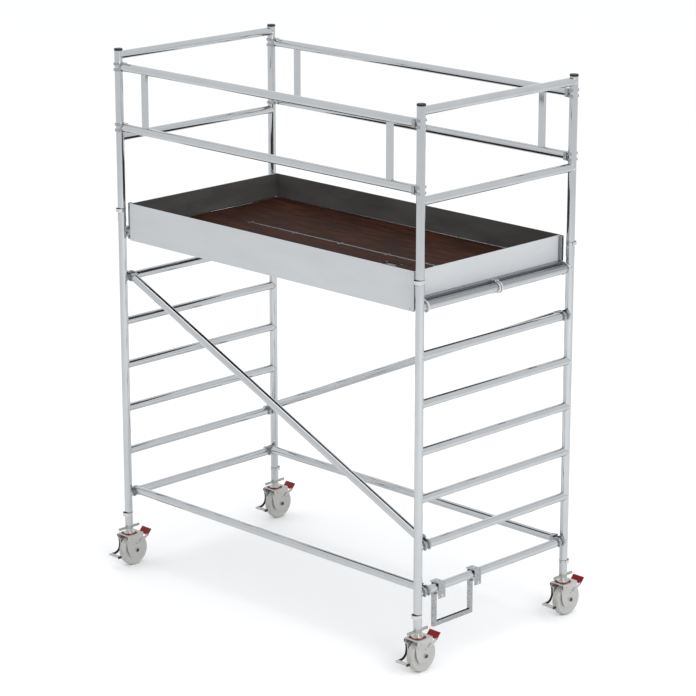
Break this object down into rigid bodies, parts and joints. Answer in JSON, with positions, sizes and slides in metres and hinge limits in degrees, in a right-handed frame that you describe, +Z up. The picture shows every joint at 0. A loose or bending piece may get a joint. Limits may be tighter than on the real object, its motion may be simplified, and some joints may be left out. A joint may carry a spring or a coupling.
{
  "type": "mobile scaffold tower",
  "caption": "Rolling scaffold tower: ladder frames on braked castors, tube braces, a railed deck with hatch and toe boards, and a hang-on step.",
  "frame": {"origin": "on the floor, under the middle of the tower's outline", "axes": "+X along the tower towards the frame that carries the step, +Y across it from the front side to the back side, +Z up"},
  "size_m": [2.621, 1.54, 3.3],
  "materials": {
    "aluminium_tube": "satin extruded tube",
    "galvanised_steel": "pressed and galvanised",
    "zinc_plated": "zinc plated",
    "castor_steel": "light grey coated pressed steel",
    "black_steel": "black coated steel",
    "red_paint": "red coated",
    "nut_casting": "zinc plated casting",
    "wheel_plastic": "light grey nylon",
    "black_plastic": "black moulded",
    "deck_plywood": "dark phenolic faced plywood",
    "toe_board": "coated board"
  },
  "bodies": {
    "tower": {"ladder_frame_left": "aluminium_tube", "ladder_frame_right": "aluminium_tube", "guard_frame_left": "aluminium_tube", "guard_frame_right": "aluminium_tube", "side_guard_front": "aluminium_tube", "side_guard_back": "aluminium_tube", "base_braces": "aluminium_tube", "diagonal_braces": "aluminium_tube", "platform_frame_front": "aluminium_tube", "platform_frame_back": "aluminium_tube", "toe_board_corners": "aluminium_tube", "joint_spigots": "aluminium_tube", "brace_claws": "galvanised_steel", "side_guard_claws": "galvanised_steel", "platform_claws": "galvanised_steel", "brace_latches": "galvanised_steel", "castor_spindles": "zinc_plated", "post_caps": "black_plastic", "deck_panel_front": "deck_plywood", "deck_panel_back": "deck_plywood", "hatch_hinge": "zinc_plated", "long_toe_boards": "toe_board", "end_toe_boards": "toe_board"},
    "castor_fl": {"castor_fork_fl": "castor_steel", "swivel_cover_fl": "red_paint"},
    "wheel_fl": {"castor_wheel_fl": "wheel_plastic"},
    "pedal_fl": {"brake_pedal_fl": "black_steel"},
    "release_fl": {"brake_release_fl": "red_paint"},
    "nut_fl": {"spindle_nut_fl": "nut_casting"},
    "castor_pin_fl": {"castor_clip_fl": "zinc_plated"},
    "frame_pin_fl": {"frame_clip_fl": "zinc_plated"},
    "castor_fr": {"castor_fork_fr": "castor_steel", "swivel_cover_fr": "red_paint"},
    "wheel_fr": {"castor_wheel_fr": "wheel_plastic"},
    "pedal_fr": {"brake_pedal_fr": "black_steel"},
    "release_fr": {"brake_release_fr": "red_paint"},
    "nut_fr": {"spindle_nut_fr": "nut_casting"},
    "castor_pin_fr": {"castor_clip_fr": "zinc_plated"},
    "frame_pin_fr": {"frame_clip_fr": "zinc_plated"},
    "castor_bl": {"castor_fork_bl": "castor_steel", "swivel_cover_bl": "red_paint"},
    "wheel_bl": {"castor_wheel_bl": "wheel_plastic"},
    "pedal_bl": {"brake_pedal_bl": "black_steel"},
    "release_bl": {"brake_release_bl": "red_paint"},
    "nut_bl": {"spindle_nut_bl": "nut_casting"},
    "castor_pin_bl": {"castor_clip_bl": "zinc_plated"},
    "frame_pin_bl": {"frame_clip_bl": "zinc_plated"},
    "castor_br": {"castor_fork_br": "castor_steel", "swivel_cover_br": "red_paint"},
    "wheel_br": {"castor_wheel_br": "wheel_plastic"},
    "pedal_br": {"brake_pedal_br": "black_steel"},
    "release_br": {"brake_release_br": "red_paint"},
    "nut_br": {"spindle_nut_br": "nut_casting"},
    "castor_pin_br": {"castor_clip_br": "zinc_plated"},
    "frame_pin_br": {"frame_clip_br": "zinc_plated"},
    "hatch": {"hatch": "deck_plywood"},
    "hatch_handle": {"hatch_handle": "zinc_plated"},
    "step": {"step_hooks": "galvanised_steel", "step_frame": "aluminium_tube"}
  },
  "joints": [
    {"name": "castor_fl_swivel", "type": "hinge", "parent": "tower", "child": "castor_fl", "pos_m": [-1.255, -0.65, 0.2], "axis": [0, 0, 1], "continuous": true},
    {"name": "wheel_fl_roll", "type": "hinge", "parent": "castor_fl", "child": "wheel_fl", "pos_m": [-1.255, -0.62, 0.1], "axis": [1, 0, 0], "continuous": true},
    {"name": "pedal_fl_press", "type": "hinge", "parent": "castor_fl", "child": "pedal_fl", "pos_m": [-1.255, -0.675, 0.192], "axis": [1, 0, 0], "range_deg": [0, 10]},
    {"name": "release_fl_rise", "type": "hinge", "parent": "castor_fl", "child": "release_fl", "pos_m": [-1.255, -0.59, 0.15], "axis": [1, 0, 0], "range_deg": [0, 8]},
    {"name": "nut_fl_turn", "type": "hinge", "parent": "tower", "child": "nut_fl", "pos_m": [-1.255, -0.65, 0.257], "axis": [0, 0, 1], "continuous": true},
    {"name": "castor_pin_fl_pull", "type": "slide", "parent": "tower", "child": "castor_pin_fl", "axis": [0, -1, 0], "range_m": [0, 0.035]},
    {"name": "frame_pin_fl_pull", "type": "slide", "parent": "tower", "child": "frame_pin_fl", "axis": [0, -1, 0], "range_m": [0, 0.035]},
    {"name": "castor_fr_swivel", "type": "hinge", "parent": "tower", "child": "castor_fr", "pos_m": [1.255, -0.65, 0.2], "axis": [0, 0, 1], "continuous": true},
    {"name": "wheel_fr_roll", "type": "hinge", "parent": "castor_fr", "child": "wheel_fr", "pos_m": [1.255, -0.62, 0.1], "axis": [1, 0, 0], "continuous": true},
    {"name": "pedal_fr_press", "type": "hinge", "parent": "castor_fr", "child": "pedal_fr", "pos_m": [1.255, -0.675, 0.192], "axis": [1, 0, 0], "range_deg": [0, 10]},
    {"name": "release_fr_rise", "type": "hinge", "parent": "castor_fr", "child": "release_fr", "pos_m": [1.255, -0.59, 0.15], "axis": [1, 0, 0], "range_deg": [0, 8]},
    {"name": "nut_fr_turn", "type": "hinge", "parent": "tower", "child": "nut_fr", "pos_m": [1.255, -0.65, 0.257], "axis": [0, 0, 1], "continuous": true},
    {"name": "castor_pin_fr_pull", "type": "slide", "parent": "tower", "child": "castor_pin_fr", "axis": [0, -1, 0], "range_m": [0, 0.035]},
    {"name": "frame_pin_fr_pull", "type": "slide", "parent": "tower", "child": "frame_pin_fr", "axis": [0, -1, 0], "range_m": [0, 0.035]},
    {"name": "castor_bl_swivel", "type": "hinge", "parent": "tower", "child": "castor_bl", "pos_m": [-1.255, 0.62, 0.2], "axis": [0, 0, 1], "continuous": true},
    {"name": "wheel_bl_roll", "type": "hinge", "parent": "castor_bl", "child": "wheel_bl", "pos_m": [-1.255, 0.65, 0.1], "axis": [1, 0, 0], "continuous": true},
    {"name": "pedal_bl_press", "type": "hinge", "parent": "castor_bl", "child": "pedal_bl", "pos_m": [-1.255, 0.595, 0.192], "axis": [1, 0, 0], "range_deg": [0, 10]},
    {"name": "release_bl_rise", "type": "hinge", "parent": "castor_bl", "child": "release_bl", "pos_m": [-1.255, 0.68, 0.15], "axis": [1, 0, 0], "range_deg": [0, 8]},
    {"name": "nut_bl_turn", "type": "hinge", "parent": "tower", "child": "nut_bl", "pos_m": [-1.255, 0.62, 0.257], "axis": [0, 0, 1], "continuous": true},
    {"name": "castor_pin_bl_pull", "type": "slide", "parent": "tower", "child": "castor_pin_bl", "axis": [0, 1, 0], "range_m": [0, 0.035]},
    {"name": "frame_pin_bl_pull", "type": "slide", "parent": "tower", "child": "frame_pin_bl", "axis": [0, 1, 0], "range_m": [0, 0.035]},
    {"name": "castor_br_swivel", "type": "hinge", "parent": "tower", "child": "castor_br", "pos_m": [1.255, 0.62, 0.2], "axis": [0, 0, 1], "continuous": true},
    {"name": "wheel_br_roll", "type": "hinge", "parent": "castor_br", "child": "wheel_br", "pos_m": [1.255, 0.65, 0.1], "axis": [1, 0, 0], "continuous": true},
    {"name": "pedal_br_press", "type": "hinge", "parent": "castor_br", "child": "pedal_br", "pos_m": [1.255, 0.595, 0.192], "axis": [1, 0, 0], "range_deg": [0, 10]},
    {"name": "release_br_rise", "type": "hinge", "parent": "castor_br", "child": "release_br", "pos_m": [1.255, 0.68, 0.15], "axis": [1, 0, 0], "range_deg": [0, 8]},
    {"name": "nut_br_turn", "type": "hinge", "parent": "tower", "child": "nut_br", "pos_m": [1.255, 0.62, 0.257], "axis": [0, 0, 1], "continuous": true},
    {"name": "castor_pin_br_pull", "type": "slide", "parent": "tower", "child": "castor_pin_br", "axis": [0, 1, 0], "range_m": [0, 0.035]},
    {"name": "frame_pin_br_pull", "type": "slide", "parent": "tower", "child": "frame_pin_br", "axis": [0, 1, 0], "range_m": [0, 0.035]},
    {"name": "hatch_hinge", "type": "hinge", "parent": "tower", "child": "hatch", "pos_m": [0.565, -0.54, 2.1945], "axis": [1, 0, 0], "range_deg": [0, 95]},
    {"name": "handle_lift", "type": "hinge", "parent": "hatch", "child": "hatch_handle", "pos_m": [0.565, -0.181, 2.194], "axis": [1, 0, 0], "range_deg": [0, 90]},
    {"name": "step_slide", "type": "slide", "parent": "tower", "child": "step", "axis": [0, 1, 0], "range_m": [0, 0.3]}
  ],
  "couplings": [
    {"joint": "release_fl_rise", "follows": "pedal_fl_press", "ratio": 0.8},
    {"joint": "release_fr_rise", "follows": "pedal_fr_press", "ratio": 0.8},
    {"joint": "release_bl_rise", "follows": "pedal_bl_press", "ratio": 0.8},
    {"joint": "release_br_rise", "follows": "pedal_br_press", "ratio": 0.8}
  ]
}
